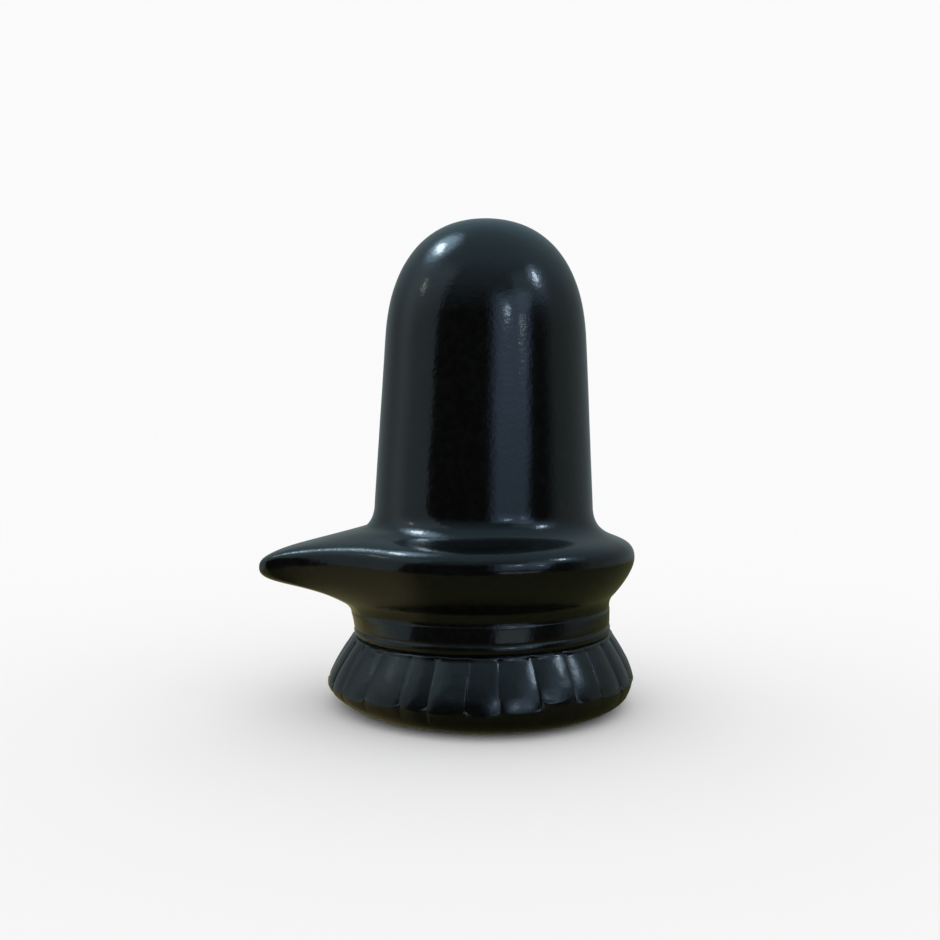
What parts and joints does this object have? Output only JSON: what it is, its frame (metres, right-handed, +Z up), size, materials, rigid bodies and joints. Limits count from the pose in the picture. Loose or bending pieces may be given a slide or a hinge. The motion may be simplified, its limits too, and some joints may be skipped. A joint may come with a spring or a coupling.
{
  "type": "shiva lingam",
  "caption": "Carved stone lingam: round-topped shaft on a round plate with a beak-shaped spout, over a plain neck, a ring of lotus petals and a rounded lip.",
  "frame": {"origin": "centre of the flat underside, on the axis of the shaft", "axes": "+Z up along the shaft, with the spout pointing along -X"},
  "size_m": [0.0581, 0.0474, 0.075],
  "materials": {
    "polished_black_stone": "polished"
  },
  "bodies": {
    "root": {"shiva_lingam": "polished_black_stone"}
  },
  "joints": []
}
